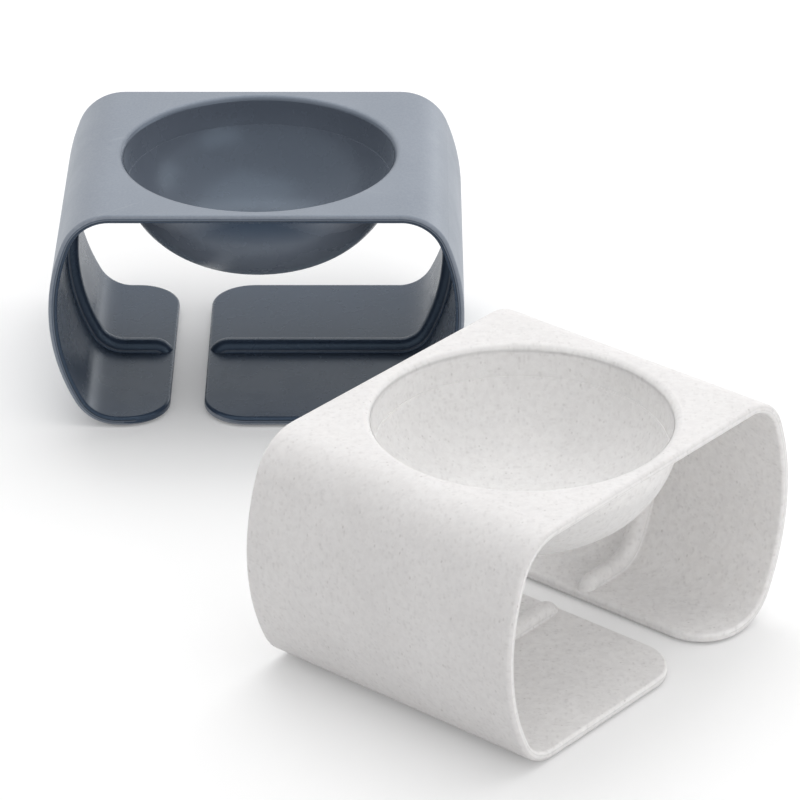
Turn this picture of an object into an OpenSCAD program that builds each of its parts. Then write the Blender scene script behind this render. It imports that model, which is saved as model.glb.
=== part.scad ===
// A pair of raised pet bowls standing apart on one floor.
// Both are the same one-piece moulding: a sheet bent to an open C, with a round bowl moulded
// into its deck and a stiffening bead along the middle of its inner face.
// A stand is drawn about its own middle: width along X, depth along Y, flap undersides at zero.

/* [Bowl] */
// Radius of the bowl's opening
bowl_r = 64; // [56:0.5:74]
// Depth of the bowl's underside below the deck
bowl_depth = 50; // [40:1:62]
// Thickness of the bowl's wall
bowl_wall = 3; // [2.2:0.1:4]
// Outer radius between the bowl's side and its floor
bowl_corner_r = 48; // [30:1:48]
// Rounding of the rim between the deck and the bowl
rim_r = 3.2; // [1.5:0.1:3.8]
// Fillet between the deck's underside and the bowl
root_r = 2.2; // [1:0.1:2.7]
// Depth of the fill line below the deck
fill_depth = 14; // [8:1:20]
// Step in the bowl's wall at the fill line
fill_step = 0.4; // [0.2:0.1:0.6]

/* [Sheet] */
// Height of the moulding from the undersides of its flaps to its deck
stand_h = 109; // [98:1:125]
// Flat deck between the opening and where the deck rolls over into a side wall
side_margin = 3; // [1:0.5:12]
// Deck between the opening and the front or back edge
end_margin = 7; // [6:0.5:20]
// Thickness of the sheet
wall = 4.2; // [3.6:0.1:5]
// Rounding of the sheet's edges
edge_r = 1.6; // [1:0.1:1.7]
// Outer radius where the deck rolls over into the side walls
shoulder_r = 24; // [20:1:28]
// Outer radius of the bulging side walls
bulge_r = 97; // [90:1:130]
// Outer radius where the side walls roll under into the flaps
heel_r = 22; // [16:1:26]
// Height at which the side walls are widest
waist_z = 57; // [50:1:62]

/* [Flaps] */
// Distance from the middle to the free edge of the short flap
short_flap_x = 42; // [36:1:44]
// Distance from the middle to the free edge of the long flap, on the same side
long_flap_x = 26; // [8:1:30]
// Plan radius of the flaps' corners
flap_corner_r = 21; // [12:1:22]

/* [Stiffening bead] */
// Radius of the bead's round crest
bead_r = 4.2; // [3.4:0.1:4.8]
// Height of the crest's centre above the inner face
bead_lift = 1.5; // [1:0.1:1.9]
// Fillet between the bead and the inner face
bead_root_r = 1; // [0.6:0.1:1.4]
// Radius along which the bead's nose dips into the flap
nose_r = 5.5; // [4.5:0.1:8]
// Distance from the tip of the nose to the flap's free edge
nose_gap = 1; // [0.8:0.1:3]

/* [Feet] */
// Diameter of a rubber foot
foot_d = 10; // [8:0.5:12]
// Height by which a foot stands proud of the flap
foot_proud = 1; // [0.6:0.1:2]
// Depth of the recess that holds a foot
foot_recess = 1.2; // [0.8:0.1:1.6]
// Clearance round a foot in its recess
foot_clearance = 0.2; // [0.1:0.05:0.3]
// Rounding of a foot's lower edge
foot_edge_r = 0.5; // [0.3:0.1:0.6]
// Distance of a foot's middle from the start of the heel, along the width
foot_inset_x = 9; // [6:1:12]
// Distance of a foot's middle from the stand's front or back edge
foot_inset_y = 19; // [16:1:26]

/* [Pair] */
// Distance of the white stand's middle to the right of the grey one's
pair_x = 118; // [100:1:180]
// Clear floor between the plan boxes of the two stands, front to back
pair_gap = 75; // [40:1:120]
// Turn of the white stand about the upright axis, in degrees
white_turn = 230; // [200:1:240]

/* [Hidden] */
$fn = 96;
overrun = 1;

grey = [0.33, 0.36, 0.41];
white = [0.88, 0.87, 0.85];
rubber = [0.16, 0.17, 0.18];

// Depth of the stand from its front edge to its back edge
stand_d = 2 * (bowl_r + end_margin);

// Centres and angles of the three arcs of a side wall, each tangent to the next
shoulder_x = bowl_r + side_margin;
shoulder_z = stand_h - shoulder_r;
bulge_x = shoulder_x - sqrt(pow(bulge_r - shoulder_r, 2) - pow(shoulder_z - waist_z, 2));
shoulder_a = atan2(shoulder_z - waist_z, shoulder_x - bulge_x);
heel_x = bulge_x + sqrt(pow(bulge_r - heel_r, 2) - pow(waist_z - heel_r, 2));
heel_a = atan2(waist_z - heel_r, heel_x - bulge_x);

// Width of the stand across its bulging side walls
stand_w = 2 * (bulge_x + bulge_r);

// A stretch of sheet or bead that runs into its neighbours laps them by this much, and is a
// hair thinner, so that it lies inside them
seam_lap = 0.5;
seam_step = 0.02;

// The bead's centre line lies this far inside the sheet's outer face
bead_in = wall + bead_lift;
bead_start_x = bowl_r + bowl_wall / 2;

// Centres of the bead's fillets from its own centre. They cross the crest and the inner face by a
// small nip, so that no two surfaces only graze each other.
bead_root_nip = 0.05;
bead_root_x = bead_lift - bead_root_r + bead_root_nip;
bead_root_y = sqrt(pow(bead_r + bead_root_r - bead_root_nip, 2) - pow(bead_root_x, 2));

// Length and angle over which the bead's nose dips below the flap's inner face
nose_a = acos((nose_r - bead_lift) / (nose_r + bead_r));
nose_l = (nose_r + bead_r) * sin(nose_a);

// The fillet under the deck ends before the rounding of the front and back edges, and the bowl's
// round corner starts below the deck
bowl_out_r = bowl_r + bowl_wall;
root_fit_r = min(root_r, stand_d / 2 - edge_r - bowl_out_r);
corner_fit_r = min(bowl_corner_r, bowl_depth - wall / 2);

foot_x = heel_x - foot_inset_x;

// The pair's plan box, which puts the origin in its middle
reach_x = stand_w / 2 - edge_r;
reach_y = stand_d / 2 - edge_r;
white_half_x = abs(cos(white_turn)) * reach_x + abs(sin(white_turn)) * reach_y + edge_r;
white_half_y = abs(sin(white_turn)) * reach_x + abs(cos(white_turn)) * reach_y + edge_r;
pair_y = stand_d / 2 + pair_gap + white_half_y;
middle_x = (max(stand_w / 2, pair_x + white_half_x) + min(-stand_w / 2, pair_x - white_half_x)) / 2;
middle_y = (max(stand_d / 2, white_half_y - pair_y) + min(-stand_d / 2, -white_half_y - pair_y)) / 2;

// Rectangle with rounded corners, its lower left corner at the origin
module rounded_rect(w, h, r) {
    translate([r, 0]) square([w - 2 * r, h]);
    translate([0, r]) square([w, h - 2 * r]);
    for (x = [r, w - r], y = [r, h - r]) translate([x, y]) circle(r);
}

// Sheet swept along an arc in the XZ plane, from one angle to another. With a lap it runs on
// into its neighbours at both ends.
module arc_sheet(x, z, outer_r, from_a, to_a, lap) {
    step = lap > 0 ? seam_step : 0;
    lap_a = lap / outer_r * 180 / PI;
    translate([x, 0, z])
        rotate([90, 0, 0])
            rotate_extrude(start = from_a - lap_a, angle = to_a - from_a + 2 * lap_a)
                translate([outer_r - wall + step, step - stand_d / 2])
                    rounded_rect(wall - 2 * step, stand_d - 2 * step, edge_r);
}

// Section of the bead about its centre: the round crest, and a root with a fillet on either side
// that runs into the sheet, which lies towards +X
module bead_section(step) {
    circle(bead_r - step);
    difference() {
        translate([bead_root_x, -bead_root_y])
            square([bead_lift + wall / 2 - bead_root_x, 2 * bead_root_y]);
        for (side = [-1, 1])
            translate([bead_root_x, side * bead_root_y])
                circle(bead_root_r + step);
    }
}

// Bead swept along an arc in the XZ plane, as the sheet is. The sheet lies outside the arc, or
// inside it.
module arc_bead(x, z, line_r, from_a, to_a, lap, sheet_outside) {
    lap_a = lap / line_r * 180 / PI;
    translate([x, 0, z])
        rotate([90, 0, 0])
            rotate_extrude(start = from_a - lap_a, angle = to_a - from_a + 2 * lap_a)
                translate([line_r, 0])
                    mirror(sheet_outside ? [0, 0] : [1, 0])
                        bead_section(lap > 0 ? seam_step : 0);
}

// Flat sheet from one X to another, its lower face at height z
module flat_sheet(from_x, to_x, z) {
    translate([from_x, 0, z])
        rotate([90, 0, 90])
            linear_extrude(to_x - from_x)
                translate([-stand_d / 2, 0])
                    rounded_rect(stand_d, wall, edge_r);
}

// Straight bead from one X to another at height z, with the sheet above it or below it
module flat_bead(from_x, to_x, z, sheet_above) {
    translate([from_x, 0, z])
        rotate([90, 0, 90])
            linear_extrude(to_x - from_x)
                rotate(sheet_above ? 90 : -90)
                    bead_section(0);
}

// Right side wall from the deck to the flap
module side_wall() {
    arc_sheet(shoulder_x, shoulder_z, shoulder_r, shoulder_a, 90, seam_lap);
    arc_sheet(bulge_x, waist_z, bulge_r, -heel_a, shoulder_a, 0);
    arc_sheet(heel_x, heel_r, heel_r, -90, -heel_a, seam_lap);
}

// Section of a flap's rounded free edge, reaching inwards by the corner radius
module free_edge_section(corner_r) {
    intersection() {
        translate([-corner_r, 0]) rounded_rect(2 * corner_r, wall, edge_r);
        square([corner_r, wall]);
    }
}

// Right flap, from the heel to a free edge at end_x, with rounded plan corners that end before
// the heel
module flap(end_x) {
    corner_r = min(flap_corner_r, heel_x - end_x - seam_lap);
    corner_x = end_x + corner_r;
    corner_y = stand_d / 2 - corner_r;
    flat_sheet(corner_x, heel_x, 0);
    translate([corner_x, corner_y, 0])
        rotate([90, 0, 0])
            linear_extrude(2 * corner_y)
                mirror([1, 0])
                    free_edge_section(corner_r);
    for (side = [-1, 1])
        translate([corner_x, side * corner_y, 0])
            rotate([0, 0, side > 0 ? 90 : 180])
                rotate_extrude(angle = 90)
                    free_edge_section(corner_r);
}

// Right half of the bead, from the bowl to a nose just short of the flap's free edge
module bead(end_x) {
    nose_x = end_x + nose_gap + nose_l;
    if (shoulder_x > bead_start_x) flat_bead(bead_start_x, shoulder_x, stand_h - bead_in, true);
    arc_bead(shoulder_x, shoulder_z, shoulder_r - bead_in, shoulder_a, 90, seam_lap, true);
    arc_bead(bulge_x, waist_z, bulge_r - bead_in, -heel_a, shoulder_a, 0, true);
    arc_bead(heel_x, heel_r, heel_r - bead_in, -90, -heel_a, seam_lap, true);
    flat_bead(nose_x, heel_x, bead_in, false);
    intersection() {
        arc_bead(nose_x, bead_in - nose_r, nose_r, 90, 90 + nose_a, seam_lap, false);
        translate([end_x, -stand_d / 2, wall / 2])
            cube([nose_gap + nose_l + seam_lap, stand_d, bead_in + bead_r]);
    }
}

// Half section of a round dish from height -top down to -depth, with a rounded foot
module dish_section(r, top, depth, corner_r) {
    intersection() {
        union() {
            translate([r - corner_r, corner_r - depth]) circle(corner_r);
            translate([0, -depth]) square([r - corner_r, depth]);
            translate([0, corner_r - depth]) square([r, depth - corner_r]);
        }
        translate([0, -depth]) square([r, depth - top]);
    }
}

// Concave quarter fillet in the corner at the origin, filling towards +X and -Y
module fillet_section(r) {
    difference() {
        translate([0, -r]) square([r, r]);
        translate([r, -r]) circle(r);
    }
}

// Outside of the bowl, from inside the deck down, with its fillet to the deck's underside
module bowl_body() {
    translate([0, 0, stand_h])
        rotate_extrude() {
            dish_section(bowl_out_r, wall / 2, bowl_depth, corner_fit_r);
            translate([bowl_out_r, -wall]) fillet_section(root_fit_r);
            translate([bowl_out_r - bowl_wall / 2, -wall - root_fit_r])
                square([bowl_wall / 2, root_fit_r + wall / 2]);
            translate([bowl_out_r, -wall]) square([root_fit_r, wall / 2]);
        }
}

// Inside of the bowl: the rounded rim, the wall above the fill line and the narrower rest
module bowl_cavity() {
    inner_corner_r = corner_fit_r - bowl_wall;
    inner_depth = bowl_depth - bowl_wall;
    translate([0, 0, stand_h])
        rotate_extrude() {
            dish_section(bowl_r - fill_step, 0, inner_depth - fill_step, inner_corner_r - fill_step);
            intersection() {
                dish_section(bowl_r, 0, inner_depth, inner_corner_r);
                translate([0, -fill_depth]) square([bowl_r, fill_depth]);
            }
            translate([bowl_r, 0]) fillet_section(rim_r);
            square([bowl_r + rim_r, overrun]);
        }
}

// Places its children at the feet's spots, or at one of them
module at_foot(x_side, y_side) {
    translate([x_side * foot_x, y_side * (stand_d / 2 - foot_inset_y), 0]) children();
}

// The one-piece moulding
module bowl_stand() {
    difference() {
        union() {
            flat_sheet(-shoulder_x, shoulder_x, stand_h - wall);
            side_wall();
            mirror([1, 0, 0]) side_wall();
            flap(-long_flap_x);
            mirror([1, 0, 0]) flap(short_flap_x);
            bead(-long_flap_x);
            mirror([1, 0, 0]) bead(short_flap_x);
            bowl_body();
        }
        bowl_cavity();
        for (x_side = [-1, 1], y_side = [-1, 1])
            at_foot(x_side, y_side)
                translate([0, 0, -overrun])
                    cylinder(h = foot_recess + overrun, d = foot_d + 2 * foot_clearance);
    }
}

// A round rubber foot, seated on the floor of its recess
module foot() {
    foot_t = foot_recess + foot_proud;
    translate([0, 0, -foot_proud])
        rotate_extrude()
            intersection() {
                translate([-foot_d / 2, 0]) rounded_rect(foot_d, 2 * foot_t, foot_edge_r);
                square([foot_d / 2, foot_t]);
            }
}

// The grey stand's place in the pair, standing on the floor
module place_grey() {
    translate([-middle_x, -middle_y, foot_proud]) children();
}

// The white stand's place in the pair, standing on the floor
module place_white() {
    translate([pair_x - middle_x, -pair_y - middle_y, foot_proud]) rotate([0, 0, white_turn]) children();
}

module grey_bowl_stand() { color(grey) place_grey() bowl_stand(); }
module grey_foot(x_side, y_side) { color(rubber) place_grey() at_foot(x_side, y_side) foot(); }
module white_bowl_stand() { color(white) place_white() bowl_stand(); }
module white_foot(x_side, y_side) { color(rubber) place_white() at_foot(x_side, y_side) foot(); }

grey_bowl_stand();
grey_foot(-1, -1);  // grey_foot_front_left
grey_foot(1, -1);  // grey_foot_front_right
grey_foot(-1, 1);  // grey_foot_back_left
grey_foot(1, 1);  // grey_foot_back_right
white_bowl_stand();
white_foot(-1, -1);  // white_foot_front_left
white_foot(1, -1);  // white_foot_front_right
white_foot(-1, 1);  // white_foot_back_left
white_foot(1, 1);  // white_foot_back_right
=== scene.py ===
"""Two raised pet bowls, one charcoal and one speckled white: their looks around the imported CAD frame."""

import math

import bpy
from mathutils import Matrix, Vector


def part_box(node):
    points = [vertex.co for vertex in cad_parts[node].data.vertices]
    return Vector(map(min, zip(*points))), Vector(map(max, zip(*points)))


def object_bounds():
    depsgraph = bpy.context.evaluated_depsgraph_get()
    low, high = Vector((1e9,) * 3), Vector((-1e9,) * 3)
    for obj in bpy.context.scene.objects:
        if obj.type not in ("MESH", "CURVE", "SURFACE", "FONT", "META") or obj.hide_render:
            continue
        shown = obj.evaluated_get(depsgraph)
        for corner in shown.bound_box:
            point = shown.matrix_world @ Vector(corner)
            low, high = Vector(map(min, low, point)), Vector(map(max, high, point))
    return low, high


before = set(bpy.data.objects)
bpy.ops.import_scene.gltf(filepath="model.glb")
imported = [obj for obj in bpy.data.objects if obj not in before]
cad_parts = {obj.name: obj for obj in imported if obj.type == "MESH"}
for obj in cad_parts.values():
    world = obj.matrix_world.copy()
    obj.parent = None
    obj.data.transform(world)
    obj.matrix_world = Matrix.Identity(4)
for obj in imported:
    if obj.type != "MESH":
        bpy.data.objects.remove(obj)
cad_low, cad_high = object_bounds()

# Nodes of the two stands, and their turns about the upright axis
GREY_STAND, GREY_TURN = "grey_bowl_stand", 0.0
WHITE_STAND, WHITE_TURN = "white_bowl_stand", math.radians(230.0)
CORNERS = ("front_left", "front_right", "back_left", "back_right")


# Node helpers
class Paint:
    """A node material under construction: its calls add nodes and return their outputs."""

    def __init__(self, name):
        self.material = bpy.data.materials.new(name)
        self.material.use_nodes = True
        self.tree = self.material.node_tree
        self.shader = self.tree.nodes["Principled BSDF"]
        coordinates = self.tree.nodes.new("ShaderNodeTexCoord")
        self.place = coordinates.outputs["Object"]
        self.normal = coordinates.outputs["Normal"]

    def set(self, socket, value):
        """Puts a number, a colour or another node's output on one of the shader's sockets."""
        self.put(self.shader.inputs[socket], value)

    def put(self, socket, value):
        """Links another node's output to a socket, or sets the socket's own number or colour."""
        if isinstance(value, bpy.types.NodeSocket):
            self.tree.links.new(value, socket)
        elif hasattr(value, "__len__") and len(socket.default_value) == 4:
            socket.default_value = (*value, 1.0)[:4]
        else:
            socket.default_value = value

    def own_frame(self, middle, turn):
        """Coordinates from a stand's own middle, along its own width, depth and height."""
        node = self.tree.nodes.new("ShaderNodeMapping")
        node.vector_type = "TEXTURE"
        self.put(node.inputs["Vector"], self.place)
        node.inputs["Location"].default_value = middle
        node.inputs["Rotation"].default_value = (0.0, 0.0, turn)
        return self.parts(node.outputs["Vector"])

    def parts(self, vector):
        """The X, Y and Z of a vector."""
        node = self.tree.nodes.new("ShaderNodeSeparateXYZ")
        self.put(node.inputs["Vector"], vector)
        return node.outputs

    def noise(self, scale, detail, roughness):
        """Soft noise over the object's own coordinates, with so many waves to a metre."""
        node = self.tree.nodes.new("ShaderNodeTexNoise")
        self.put(node.inputs["Vector"], self.place)
        node.inputs["Scale"].default_value = scale
        node.inputs["Detail"].default_value = detail
        node.inputs["Roughness"].default_value = roughness
        return node.outputs["Fac"]

    def cells(self, scale, stretch, turn):
        """Stretched, turned cells, so many to a metre: distance to a cell's point, and its random number."""
        mapping = self.tree.nodes.new("ShaderNodeMapping")
        self.put(mapping.inputs["Vector"], self.place)
        mapping.inputs["Scale"].default_value = stretch
        mapping.inputs["Rotation"].default_value = turn
        node = self.tree.nodes.new("ShaderNodeTexVoronoi")
        self.put(node.inputs["Vector"], mapping.outputs["Vector"])
        node.inputs["Scale"].default_value = scale
        draws = self.tree.nodes.new("ShaderNodeSeparateColor")
        self.put(draws.inputs["Color"], node.outputs["Color"])
        return node.outputs["Distance"], draws.outputs["Red"]

    def maths(self, operation, a, b=0.0):
        """One operation on one or two numbers."""
        node = self.tree.nodes.new("ShaderNodeMath")
        node.operation = operation
        self.put(node.inputs[0], a)
        self.put(node.inputs[1], b)
        return node.outputs["Value"]

    def product(self, first, *others):
        """All the numbers multiplied."""
        result = first
        for other in others:
            result = self.maths("MULTIPLY", result, other)
        return result

    def opposite(self, share):
        """1 where the share is 0, and 0 where it is 1."""
        return self.maths("SUBTRACT", 1.0, share)

    def distance(self, a, b):
        """Length of a way that goes a along one axis and b along another."""
        return self.maths("SQRT", self.maths("ADD", self.product(a, a), self.product(b, b)))

    def gap(self, a, b):
        """Difference of two numbers, never below zero."""
        return self.maths("ABSOLUTE", self.maths("SUBTRACT", a, b))

    def pick(self, choice, no, yes):
        """Number yes where choice is 1, number no where it is 0."""
        return self.maths("ADD", no, self.product(choice, self.maths("SUBTRACT", yes, no)))

    def span(self, value, low, high, to_low=0.0, to_high=1.0):
        """Takes value from low..high to to_low..to_high, held at both ends."""
        node = self.tree.nodes.new("ShaderNodeMapRange")
        self.put(node.inputs["Value"], value)
        node.inputs["From Min"].default_value = low
        node.inputs["From Max"].default_value = high
        node.inputs["To Min"].default_value = to_low
        node.inputs["To Max"].default_value = to_high
        return node.outputs["Result"]

    def fade(self, value, core, rim):
        """1 up to the core, falling to 0 at the rim."""
        return self.span(value, core, rim, to_low=1.0, to_high=0.0)

    def blend(self, share, a, b):
        """Colour a where share is 0, colour b where it is 1."""
        node = self.tree.nodes.new("ShaderNodeMix")
        node.data_type = "RGBA"
        self.put(node.inputs["Factor"], share)
        self.put(node.inputs["A"], a)
        self.put(node.inputs["B"], b)
        return node.outputs["Result"]

    def laid_over(self, base, share, strength, tone):
        """The base colour with a tone over it, by the strength where the share is 1."""
        return self.blend(self.product(share, strength), base, tone)

    def bump(self, height, depth, strength, below=None):
        """A normal tilted by a height of so many metres, on top of another bump if one is given."""
        node = self.tree.nodes.new("ShaderNodeBump")
        node.inputs["Strength"].default_value = strength
        node.inputs["Distance"].default_value = depth
        self.put(node.inputs["Height"], height)
        if below is not None:
            self.put(node.inputs["Normal"], below)
        return node.outputs["Normal"]


def leg(long_side, other_leg):
    """The missing leg of a right-angled triangle."""
    return math.sqrt(long_side ** 2 - other_leg ** 2)


# Section of a stand, with the part's own sizes, in metres from the middle of its underside
STAND_HEIGHT, STAND_HALF_DEPTH = 0.109, 0.071
SHOULDER_X, WAIST_Z = 0.067, 0.057
SHOULDER_R, BULGE_R, HEEL_R = 0.024, 0.097, 0.022
SHOULDER_Z = STAND_HEIGHT - SHOULDER_R
BULGE_X = SHOULDER_X - leg(BULGE_R - SHOULDER_R, SHOULDER_Z - WAIST_Z)
HEEL_X = BULGE_X + leg(BULGE_R - HEEL_R, WAIST_Z - HEEL_R)

# Depths below the outer face of the mould's parting line and of the thin flash beside it
LINE_DEPTH, FLASH_DEPTH = 0.0028, 0.0023
# Half widths of both stripes, where they start to fade and where they end
STRIPE_CORE, STRIPE_RIM = 0.00014, 0.00030
# Distances from the front and back edges at which both stripes start and are full
STRIPE_START, STRIPE_FULL = 0.0010, 0.0006

# Heights at which the line leaves the bulge for the shoulder and for the heel
LINE_R = BULGE_R - LINE_DEPTH
SHOULDER_FROM = WAIST_Z + LINE_R * (SHOULDER_Z - WAIST_Z) / (BULGE_R - SHOULDER_R)
HEEL_UP_TO = WAIST_Z - LINE_R * (WAIST_Z - HEEL_R) / (BULGE_R - HEEL_R)


# Parts of a stand's surface
def edge_band(p, node, turn):
    """Depth below the sheet's outer face, and 1 on its front and back edges."""
    low_corner, high_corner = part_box(node)
    middle = (low_corner + high_corner) / 2
    across, along, up = p.own_frame((middle.x, middle.y, low_corner.z), turn)
    side = p.maths("ABSOLUTE", across)

    def depth_in(centre_x, centre_z, radius):
        reach = p.distance(p.maths("SUBTRACT", side, centre_x), p.maths("SUBTRACT", up, centre_z))
        return p.maths("SUBTRACT", radius, reach)

    shoulder = depth_in(SHOULDER_X, SHOULDER_Z, SHOULDER_R)
    bulge = depth_in(BULGE_X, WAIST_Z, BULGE_R)
    heel = depth_in(HEEL_X, HEEL_R, HEEL_R)
    deck = p.maths("SUBTRACT", STAND_HEIGHT, up)
    top = p.pick(p.maths("GREATER_THAN", side, SHOULDER_X), deck, shoulder)
    base = p.pick(p.maths("GREATER_THAN", side, HEEL_X), up, heel)
    depth = p.pick(p.maths("GREATER_THAN", up, SHOULDER_FROM), bulge, top)
    depth = p.pick(p.maths("LESS_THAN", up, HEEL_UP_TO), depth, base)
    from_middle = p.maths("ABSOLUTE", along)
    on_edge = p.span(from_middle, STAND_HALF_DEPTH - STRIPE_START, STAND_HALF_DEPTH - STRIPE_FULL)
    return depth, on_edge


def stripe(p, band, centre):
    """A share that is 1 on a thin stripe along the edges, at one depth below the outer face."""
    depth, on_edge = band
    return p.product(p.fade(p.gap(depth, centre), STRIPE_CORE, STRIPE_RIM), on_edge)


def faces(p, node, turn):
    """Two shares on a stand: 1 on the outer face of the bent sheet, and 1 on the bowl."""
    # How far from the middle a face's plane lies, below zero where the face looks inwards
    outer_start, outer_full = -0.004, 0.012
    # Height above the middle, and distance from the bowl's axis
    bowl_start, bowl_full = -0.010, 0.0
    rim_inside, rim_outside = 0.0640, 0.0668

    low_corner, high_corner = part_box(node)
    across, along, up = p.own_frame((low_corner + high_corner) / 2, turn)
    normal_x, normal_y, normal_z = p.parts(p.normal)
    sideways = p.maths("ADD", p.product(normal_x, math.cos(turn)), p.product(normal_y, math.sin(turn)))
    outward = p.maths("ADD", p.product(sideways, across), p.product(normal_z, up))
    near_axis = p.fade(p.distance(across, along), rim_inside, rim_outside)
    bowl = p.product(p.span(up, bowl_start, bowl_full), near_axis)
    return p.span(outward, outer_start, outer_full), bowl


def painted_light_zones(p, clouds, outer, bowl, tones):
    """Colour of a stand with painted light: two tones each for the inner face, the outer face and the bowl,
    as lit and shaded copies of one plastic.
    """
    inner_painted_light, outer_painted_light, bowl_painted_light = (p.blend(clouds, *pair) for pair in tones)
    return p.blend(bowl, p.blend(outer, inner_painted_light, outer_painted_light), bowl_painted_light)


def scuffs(p):
    """A few hair-thin pale rub marks in long curves, broken up along their length."""
    noise_middle = 0.5
    marks = 0.0
    for scale, width in ((9.0, 0.0022), (15.0, 0.0030)):
        off = p.gap(p.noise(scale, detail=0.0, roughness=0.5), noise_middle)
        marks = p.maths("ADD", marks, p.fade(off, core=width, rim=2 * width))
    kept = p.span(p.noise(scale=34.0, detail=2.0, roughness=0.5), low=0.48, high=0.60)
    return p.product(p.maths("MINIMUM", marks, 1.0), kept)


def flecks(p, base):
    """The base colour with four kinds of short flecks over it."""
    choice_softness = 0.05
    fleck_core, fleck_rim = 0.06, 0.40
    # Cells to a metre, their stretch and turn, the part of them left bare, strength and tone
    kinds = (
        (440.0, (1.0, 1.0, 0.42), (0.0, 0.0, 0.0), 0.55, 0.20, (0.46, 0.44, 0.435)),
        (500.0, (1.0, 0.44, 1.0), (0.3, 0.5, 0.9), 0.60, 0.20, (0.44, 0.42, 0.415)),
        (470.0, (0.46, 1.0, 1.0), (0.9, 0.2, 0.4), 0.60, 0.18, (0.44, 0.42, 0.41)),
        (620.0, (1.0, 1.0, 0.60), (0.2, 0.9, 0.1), 0.93, 0.34, (0.28, 0.255, 0.24)),
    )
    for scale, stretch, turn, bare, strength, tone in kinds:
        distance, draw = p.cells(scale, stretch, turn)
        chosen = p.span(draw, bare, bare + choice_softness)
        shape = p.fade(distance, fleck_core, fleck_rim)
        base = p.laid_over(base, p.product(chosen, shape), strength, tone)
    return base


# Materials
def grey_plastic():
    """Satin charcoal moulding: the outer face is duller and painted paler as lit, the inner face painted
    darker as shaded, with fine grain and rub marks.
    """
    # Two tones each for the inner face, the outer face and the bowl, as painted light: the outer face paler
    # as lit, the inner face darker as shaded, the bowl between
    tones = (
        ((0.028, 0.044, 0.074), (0.034, 0.051, 0.084)),
        ((0.202, 0.223, 0.262), (0.222, 0.243, 0.284)),
        ((0.104, 0.121, 0.152), (0.116, 0.134, 0.167)),
    )
    inside_roughness, outside_roughness, mottle_swing = 0.27, 0.42, 0.04

    p = Paint("charcoal_plastic")
    outer, bowl = faces(p, GREY_STAND, GREY_TURN)
    satin = p.product(outer, p.opposite(bowl))
    band = edge_band(p, GREY_STAND, GREY_TURN)
    # Painted shade along the parting-line groove, whose bump further down is real, and a painted highlight
    # along the thin flash beside it
    groove_with_painted_shade = stripe(p, band, LINE_DEPTH)
    painted_flash_highlight = stripe(p, band, FLASH_DEPTH)

    clouds = p.span(p.noise(scale=26.0, detail=3.0, roughness=0.55), low=0.3, high=0.7)
    grain = p.span(p.noise(scale=800.0, detail=3.0, roughness=0.7), low=0.35, high=0.65)
    # Painted light and shade: each face takes a lit or shaded tone of the one plastic
    base = painted_light_zones(p, clouds, outer, bowl, tones)
    base = p.laid_over(base, p.product(grain, satin), strength=0.30, tone=(0.31, 0.335, 0.38))
    base = p.laid_over(base, p.product(scuffs(p), satin), strength=0.12, tone=(0.42, 0.445, 0.48))
    # Painted highlight on the flash, then painted shade in the parting-line groove
    base = p.laid_over(base, painted_flash_highlight, strength=0.8, tone=(0.150, 0.170, 0.205))
    p.set("Base Color", p.laid_over(base, groove_with_painted_shade, strength=0.9, tone=(0.020, 0.024, 0.033)))

    patches = p.noise(scale=60.0, detail=4.0, roughness=0.6)
    mottle = p.span(patches, low=0.3, high=0.7, to_low=-mottle_swing, to_high=mottle_swing)
    dullness = p.span(satin, low=0.0, high=1.0, to_low=inside_roughness, to_high=outside_roughness)
    p.set("Roughness", p.maths("ADD", mottle, dullness))
    p.set("IOR", 1.45)
    p.set("Specular Tint", (0.62, 0.81, 1.0))
    p.set("Sheen Weight", 0.12)
    p.set("Sheen Roughness", 0.5)
    p.set("Sheen Tint", (0.8, 0.9, 1.0))
    skin = p.bump(p.noise(scale=900.0, detail=2.0, roughness=0.6), depth=0.00006, strength=0.16)
    p.set("Normal", p.bump(p.opposite(groove_with_painted_shade), depth=0.00012, strength=0.7, below=skin))
    return p.material


def white_plastic():
    """Matt off-white moulding, filled with fine short grey and brown flecks, with painted light and shade on
    its faces and painted shade in its parting-line groove.
    """
    # Two tones each for the inner face, the outer face and the bowl, as painted light and shade: the inner
    # face lightest, the outer face darkest, the bowl between
    tones = (
        ((0.870, 0.858, 0.850), (0.900, 0.888, 0.880)),
        ((0.745, 0.731, 0.726), (0.780, 0.766, 0.761)),
        ((0.775, 0.768, 0.762), (0.805, 0.797, 0.791)),
    )

    p = Paint("speckled_white_plastic")
    outer, bowl = faces(p, WHITE_STAND, WHITE_TURN)
    # Painted shade along the parting-line groove, whose bump further down is real
    groove_with_painted_shade = stripe(p, edge_band(p, WHITE_STAND, WHITE_TURN), LINE_DEPTH)

    clouds = p.span(p.noise(scale=30.0, detail=3.0, roughness=0.5), low=0.3, high=0.7)
    soft = p.span(p.noise(scale=330.0, detail=3.0, roughness=0.6), low=0.38, high=0.62)
    # Painted light and shade: each face takes its own lit or shaded tone of the one plastic
    base = painted_light_zones(p, clouds, outer, bowl, tones)
    base = flecks(p, p.laid_over(base, soft, strength=0.14, tone=(0.50, 0.475, 0.475)))
    # Painted shade in the parting-line groove
    p.set("Base Color", p.laid_over(base, groove_with_painted_shade, strength=0.25, tone=(0.45, 0.44, 0.43)))

    patches = p.noise(scale=90.0, detail=3.0, roughness=0.6)
    p.set("Roughness", p.span(patches, low=0.3, high=0.7, to_low=0.46, to_high=0.56))
    p.set("Subsurface Weight", 0.25)
    p.set("Subsurface Radius", (1.0, 0.97, 0.92))
    p.set("Subsurface Scale", 0.003)
    skin = p.bump(p.noise(scale=900.0, detail=3.0, roughness=0.6), depth=0.00008, strength=0.3)
    p.set("Normal", p.bump(p.opposite(groove_with_painted_shade), depth=0.00010, strength=0.5, below=skin))
    return p.material


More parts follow.
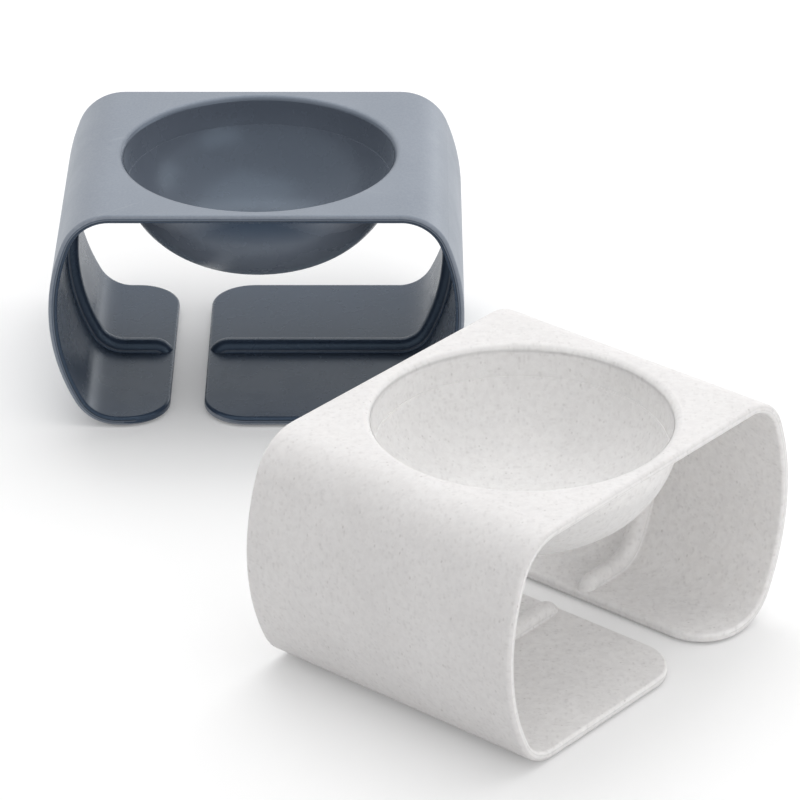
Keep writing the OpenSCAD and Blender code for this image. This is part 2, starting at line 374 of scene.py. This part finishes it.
def foot_rubber():
    """Dark matt rubber with a fine dusty grain."""
    tones = (0.020, 0.021, 0.023), (0.038, 0.039, 0.041)
    p = Paint("foot_rubber")
    dust = p.noise(scale=300.0, detail=4.0, roughness=0.6)
    p.set("Base Color", p.blend(p.span(dust, low=0.35, high=0.7), *tones))
    p.set("Roughness", p.span(dust, low=0.3, high=0.7, to_low=0.7, to_high=0.85))
    grain = p.noise(scale=2500.0, detail=2.0, roughness=0.5)
    p.set("Normal", p.bump(grain, depth=0.00005, strength=0.4))
    return p.material


def pale_floor():
    """Matt near-white, with a glow only for the rays that see it, stronger further out."""
    near, far = 0.8, 2.6
    near_glow, far_glow = 0.16, 0.62
    p = Paint("pale_floor")
    p.set("Base Color", (0.82, 0.82, 0.82))
    p.set("Roughness", 0.9)
    p.set("Specular IOR Level", 0.0)
    place_x, place_y, _ = p.parts(p.place)
    glow = p.span(p.distance(place_x, place_y), near, far, near_glow, far_glow)
    p.set("Emission Color", (1.0, 1.0, 1.0))
    p.set("Emission Strength", p.product(seen_rays(p.tree), glow))
    return p.material


def dress(node, material):
    """Gives a CAD node its only material."""
    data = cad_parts[node].data
    data.materials.clear()
    data.materials.append(material)


def seen_rays(tree):
    """1 for rays from the camera, a reflection or a clear body, and 0 for rays that light the object."""
    path = tree.nodes.new("ShaderNodeLightPath")
    share = path.outputs["Is Camera Ray"]
    for ray in ("Is Glossy Ray", "Is Transmission Ray"):
        either = tree.nodes.new("ShaderNodeMath")
        either.operation = "MAXIMUM"
        tree.links.new(share, either.inputs[0])
        tree.links.new(path.outputs[ray], either.inputs[1])
        share = either.outputs["Value"]
    return share


# Floor and light
# A middle of the pair and a place nearer the grey stand, which the softboxes face
PAIR_MIDDLE = (0.0, 0.0, 0.05)
GREY_SIDE = (0.0, 0.1, 0.05)
# Name, place, target, size in metres and power in watts of each softbox
SOFTBOXES = (
    ("top_softbox", (0.1, 0.2, 1.9), PAIR_MIDDLE, (1.6, 1.4), 8.3),
    ("back_softbox", (0.0, 1.6, 2.2), PAIR_MIDDLE, (2.6, 1.4), 18.6),
    ("front_softbox", (1.7, -2.2, 0.8), PAIR_MIDDLE, (1.8, 1.4), 12.0),
    ("strip_softbox", (1.1, 2.1, 0.5), GREY_SIDE, (0.35, 0.9), 1.9),
    ("right_softbox", (2.2, 0.9, 0.9), GREY_SIDE, (1.2, 1.0), 7.0),
)
# Brightness of the room as a light, level with the floor and overhead, and where it is seen
ROOM_LEVEL, ROOM_OVERHEAD, ROOM_SEEN = 0.5, 0.8, 1.0
FLOOR_HALF_WIDTH = 6.0


def floor():
    """A wide pale floor at the lowest point of the object."""
    mesh = bpy.data.meshes.new("floor")
    ways = ((-1, -1), (1, -1), (1, 1), (-1, 1))
    corners = [(x * FLOOR_HALF_WIDTH, y * FLOOR_HALF_WIDTH, cad_low.z) for x, y in ways]
    mesh.from_pydata(corners, [], [(0, 1, 2, 3)])
    mesh.materials.append(pale_floor())
    plate = bpy.data.objects.new("floor", mesh)
    bpy.context.scene.collection.objects.link(plate)


def surroundings():
    """A soft white room, dimmer at floor level than overhead, that is seen as plain white."""
    world = bpy.data.worlds.new("white_room")
    bpy.context.scene.world = world
    world.use_nodes = True
    tree = world.node_tree
    background = tree.nodes["Background"]
    background.inputs["Color"].default_value = (1.0, 1.0, 1.0, 1.0)
    place = tree.nodes.new("ShaderNodeTexCoord")
    split = tree.nodes.new("ShaderNodeSeparateXYZ")
    tree.links.new(place.outputs["Generated"], split.inputs["Vector"])
    rise = tree.nodes.new("ShaderNodeMapRange")
    rise.inputs["To Min"].default_value = ROOM_LEVEL
    rise.inputs["To Max"].default_value = ROOM_OVERHEAD
    tree.links.new(split.outputs["Z"], rise.inputs["Value"])
    strength = tree.nodes.new("ShaderNodeMix")
    tree.links.new(seen_rays(tree), strength.inputs["Factor"])
    tree.links.new(rise.outputs["Result"], strength.inputs["A"])
    strength.inputs["B"].default_value = ROOM_SEEN
    tree.links.new(strength.outputs["Result"], background.inputs["Strength"])


def softbox(name, place, target, size, power):
    """A rectangular area light that faces its target and that the camera doesn't see."""
    data = bpy.data.lights.new(name, "AREA")
    data.shape = "RECTANGLE"
    data.size, data.size_y = size
    data.energy = power
    lamp = bpy.data.objects.new(name, data)
    lamp.location = place
    lamp.rotation_euler = (Vector(target) - Vector(place)).to_track_quat("-Z", "Y").to_euler()
    lamp.visible_camera = False
    bpy.context.scene.collection.objects.link(lamp)


# Camera: place in metres, angles in degrees, lens and sensor in millimetres
CAMERA_PLACE = (-0.002, -1.7789, 0.9969)
CAMERA_BELOW_LEVEL, LEVEL_TILT = 27.78, 90.0
CAMERA_LENS, CAMERA_SENSOR = 202.5, 36.0
CAMERA_FAR_END = 50.0


def camera():
    """The camera that the photo's view is rendered from."""
    data = bpy.data.cameras.new("camera")
    data.lens = CAMERA_LENS
    data.sensor_width = CAMERA_SENSOR
    data.clip_end = CAMERA_FAR_END
    body = bpy.data.objects.new("camera", data)
    body.location = CAMERA_PLACE
    body.rotation_euler = (math.radians(LEVEL_TILT - CAMERA_BELOW_LEVEL), 0.0, 0.0)
    bpy.context.scene.collection.objects.link(body)
    bpy.context.scene.camera = body


# The scene
dress(GREY_STAND, grey_plastic())
dress(WHITE_STAND, white_plastic())
rubber = foot_rubber()
for stand_colour in ("grey", "white"):
    for corner in CORNERS:
        dress(f"{stand_colour}_foot_{corner}", rubber)
camera()
floor()
surroundings()
for light in SOFTBOXES:
    softbox(*light)

bpy.context.scene.view_settings.view_transform = "Standard"
